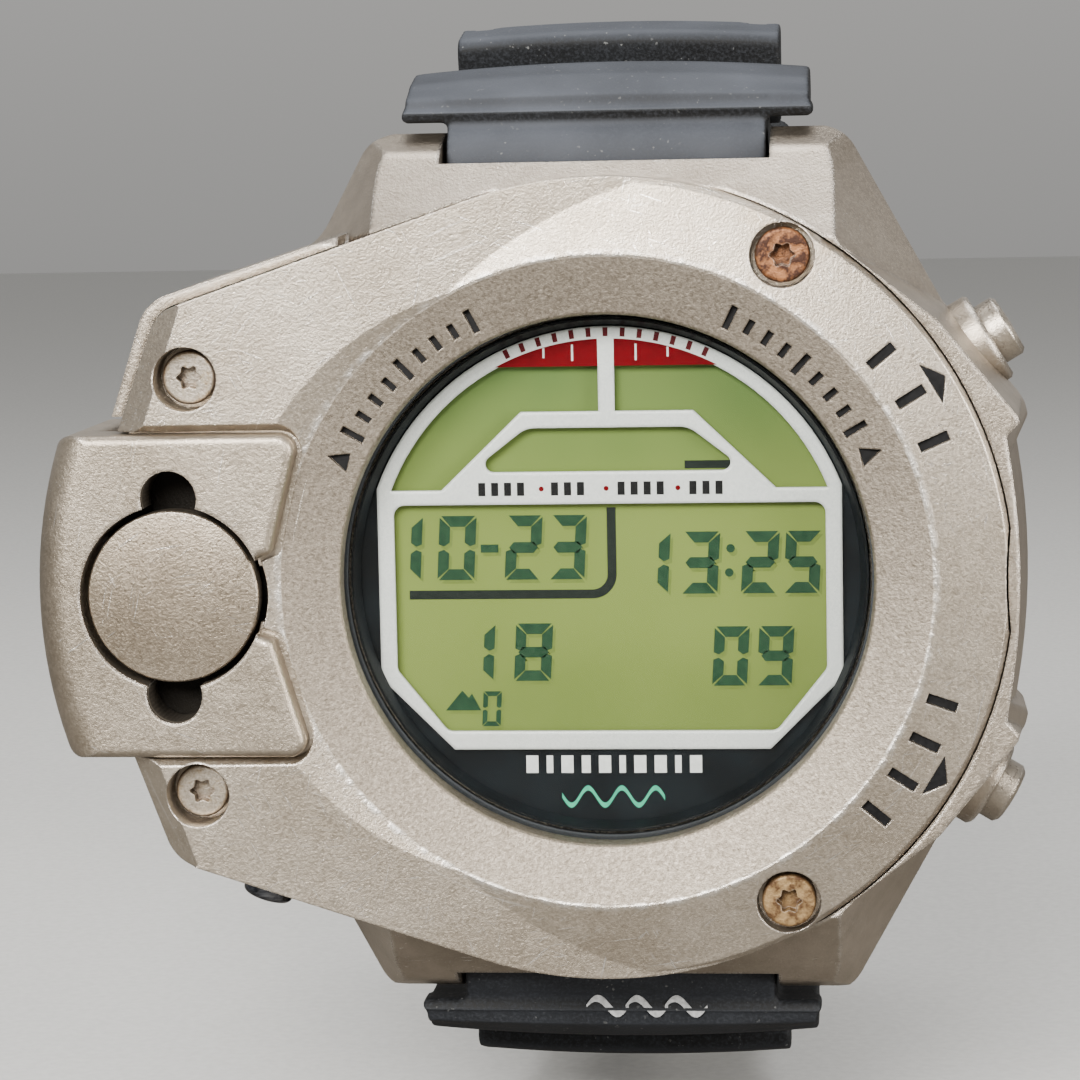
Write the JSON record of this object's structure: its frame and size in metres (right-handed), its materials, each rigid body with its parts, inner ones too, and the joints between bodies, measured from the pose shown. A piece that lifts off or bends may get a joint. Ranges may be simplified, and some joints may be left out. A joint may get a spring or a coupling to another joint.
{
  "type": "wrist dive computer",
  "caption": "Wrist dive computer: round metal case with a winged cover plate, side pressure sensor, segment display window, two pushers, and a ribbed two-piece rubber strap with a buckle.",
  "frame": {"origin": "centre of the case back's outer face, on the display's axis", "axes": "+X towards 3 o'clock (the pusher side), -Y out of the display, +Y towards the wrist, +Z towards 12 o'clock"},
  "size_m": [0.0605, 0.0955, 0.0701],
  "materials": {
    "titanium": "bead-blasted grey titanium, satin",
    "bright_titanium": "smoother satin titanium",
    "steel": "machined stainless steel",
    "worn_steel": "stainless steel with brown corrosion stains",
    "chrome": "polished dark chrome",
    "brass": "gold-plated",
    "mineral_glass": "flat polished mineral glass",
    "lcd": "grey-green liquid crystal glass",
    "mask": "silver printed film",
    "black_print": "glossy black print",
    "black_plastic": "moulded black plastic",
    "white_plastic": "moulded white plastic",
    "circuit_green": "green solder mask",
    "strap_rubber": "black polyurethane rubber, fine matt texture",
    "seal_rubber": "black nitrile rubber"
  },
  "bodies": {
    "watch_case": {"case_body": "titanium", "top_cover": "titanium", "cover_screws": "worn_steel", "crystal": "mineral_glass", "crystal_gasket": "seal_rubber", "window_ring": "black_plastic", "dial_plate": "black_print", "display_mask": "mask", "lcd_panel": "lcd", "backlight_panel": "white_plastic", "zebra_connectors": "seal_rubber", "module_frame": "white_plastic", "circuit_board": "circuit_green", "circuit_chips": "black_plastic", "battery": "steel", "battery_clip": "brass", "piezo_buzzer": "brass", "back_cover": "bright_titanium", "back_gasket": "seal_rubber", "back_screws": "steel", "sensor_housing": "titanium", "housing_screws": "steel", "sensor_cap": "bright_titanium", "pressure_sensor": "steel", "sensor_seal": "seal_rubber", "sensor_retainer": "steel", "sensor_leads": "brass", "water_contact": "chrome", "contact_insulator": "black_plastic", "upper_button_collar": "titanium", "lower_button_collar": "titanium", "upper_button_spring": "steel", "lower_button_spring": "steel", "upper_spring_bar": "steel", "lower_spring_bar": "steel", "upper_bar_spring": "steel", "lower_bar_spring": "steel"},
    "upper_pusher": {"upper_button": "bright_titanium", "upper_button_seals": "seal_rubber", "upper_button_clip": "steel"},
    "lower_pusher": {"lower_button": "bright_titanium", "lower_button_seals": "seal_rubber", "lower_button_clip": "steel"},
    "upper_left_plunger": {"upper_bar_left_tip": "steel"},
    "upper_right_plunger": {"upper_bar_right_tip": "steel"},
    "lower_left_plunger": {"lower_bar_left_tip": "steel"},
    "lower_right_plunger": {"lower_bar_right_tip": "steel"},
    "upper_band": {"upper_strap": "strap_rubber", "fixed_keeper": "strap_rubber"},
    "lower_band": {"lower_strap": "strap_rubber"},
    "loose_loop": {"sliding_keeper": "strap_rubber"},
    "buckle": {"buckle_frame": "bright_titanium", "buckle_pin": "steel"},
    "tang": {"buckle_tang": "bright_titanium"}
  },
  "joints": [
    {"name": "upper_push", "type": "slide", "parent": "watch_case", "child": "upper_pusher", "axis": [-0.8572, 0, -0.515], "range_m": [0, 0.0009], "stiffness_N_per_m": 900, "deforming": ["upper_button_spring"]},
    {"name": "lower_push", "type": "slide", "parent": "watch_case", "child": "lower_pusher", "axis": [-0.8572, 0, 0.515], "range_m": [0, 0.0009], "stiffness_N_per_m": 900, "deforming": ["lower_button_spring"]},
    {"name": "upper_left_plunger_slide", "type": "slide", "parent": "watch_case", "child": "upper_left_plunger", "axis": [1, 0, 0], "range_m": [0, 0.0013], "stiffness_N_per_m": 400, "deforming": ["upper_bar_spring"]},
    {"name": "upper_right_plunger_slide", "type": "slide", "parent": "watch_case", "child": "upper_right_plunger", "axis": [-1, 0, 0], "range_m": [0, 0.0013], "stiffness_N_per_m": 400, "deforming": ["upper_bar_spring"]},
    {"name": "lower_left_plunger_slide", "type": "slide", "parent": "watch_case", "child": "lower_left_plunger", "axis": [1, 0, 0], "range_m": [0, 0.0013], "stiffness_N_per_m": 400, "deforming": ["lower_bar_spring"]},
    {"name": "lower_right_plunger_slide", "type": "slide", "parent": "watch_case", "child": "lower_right_plunger", "axis": [-1, 0, 0], "range_m": [0, 0.0013], "stiffness_N_per_m": 400, "deforming": ["lower_bar_spring"]},
    {"name": "upper_band_pivot", "type": "hinge", "parent": "watch_case", "child": "upper_band", "pos_m": [0, -0.005, 0.0249], "axis": [1, 0, 0], "range_deg": [-6, 12]},
    {"name": "lower_band_pivot", "type": "hinge", "parent": "watch_case", "child": "lower_band", "pos_m": [0, -0.005, -0.0249], "axis": [-1, 0, 0], "range_deg": [-6, 12]},
    {"name": "loop_slide", "type": "hinge", "parent": "upper_band", "child": "loose_loop", "pos_m": [0, 0.01335, -0.00131], "axis": [-1, 0, 0], "range_deg": [-23, 6]},
    {"name": "buckle_pivot", "type": "hinge", "parent": "upper_band", "child": "buckle", "pos_m": [0, 0.04441, 0.00642], "axis": [1, 0, 0], "range_deg": [-30, 45]},
    {"name": "tang_pivot", "type": "hinge", "parent": "buckle", "child": "tang", "pos_m": [0, 0.04441, 0.00642], "axis": [1, 0, 0], "range_deg": [0, 80]}
  ]
}
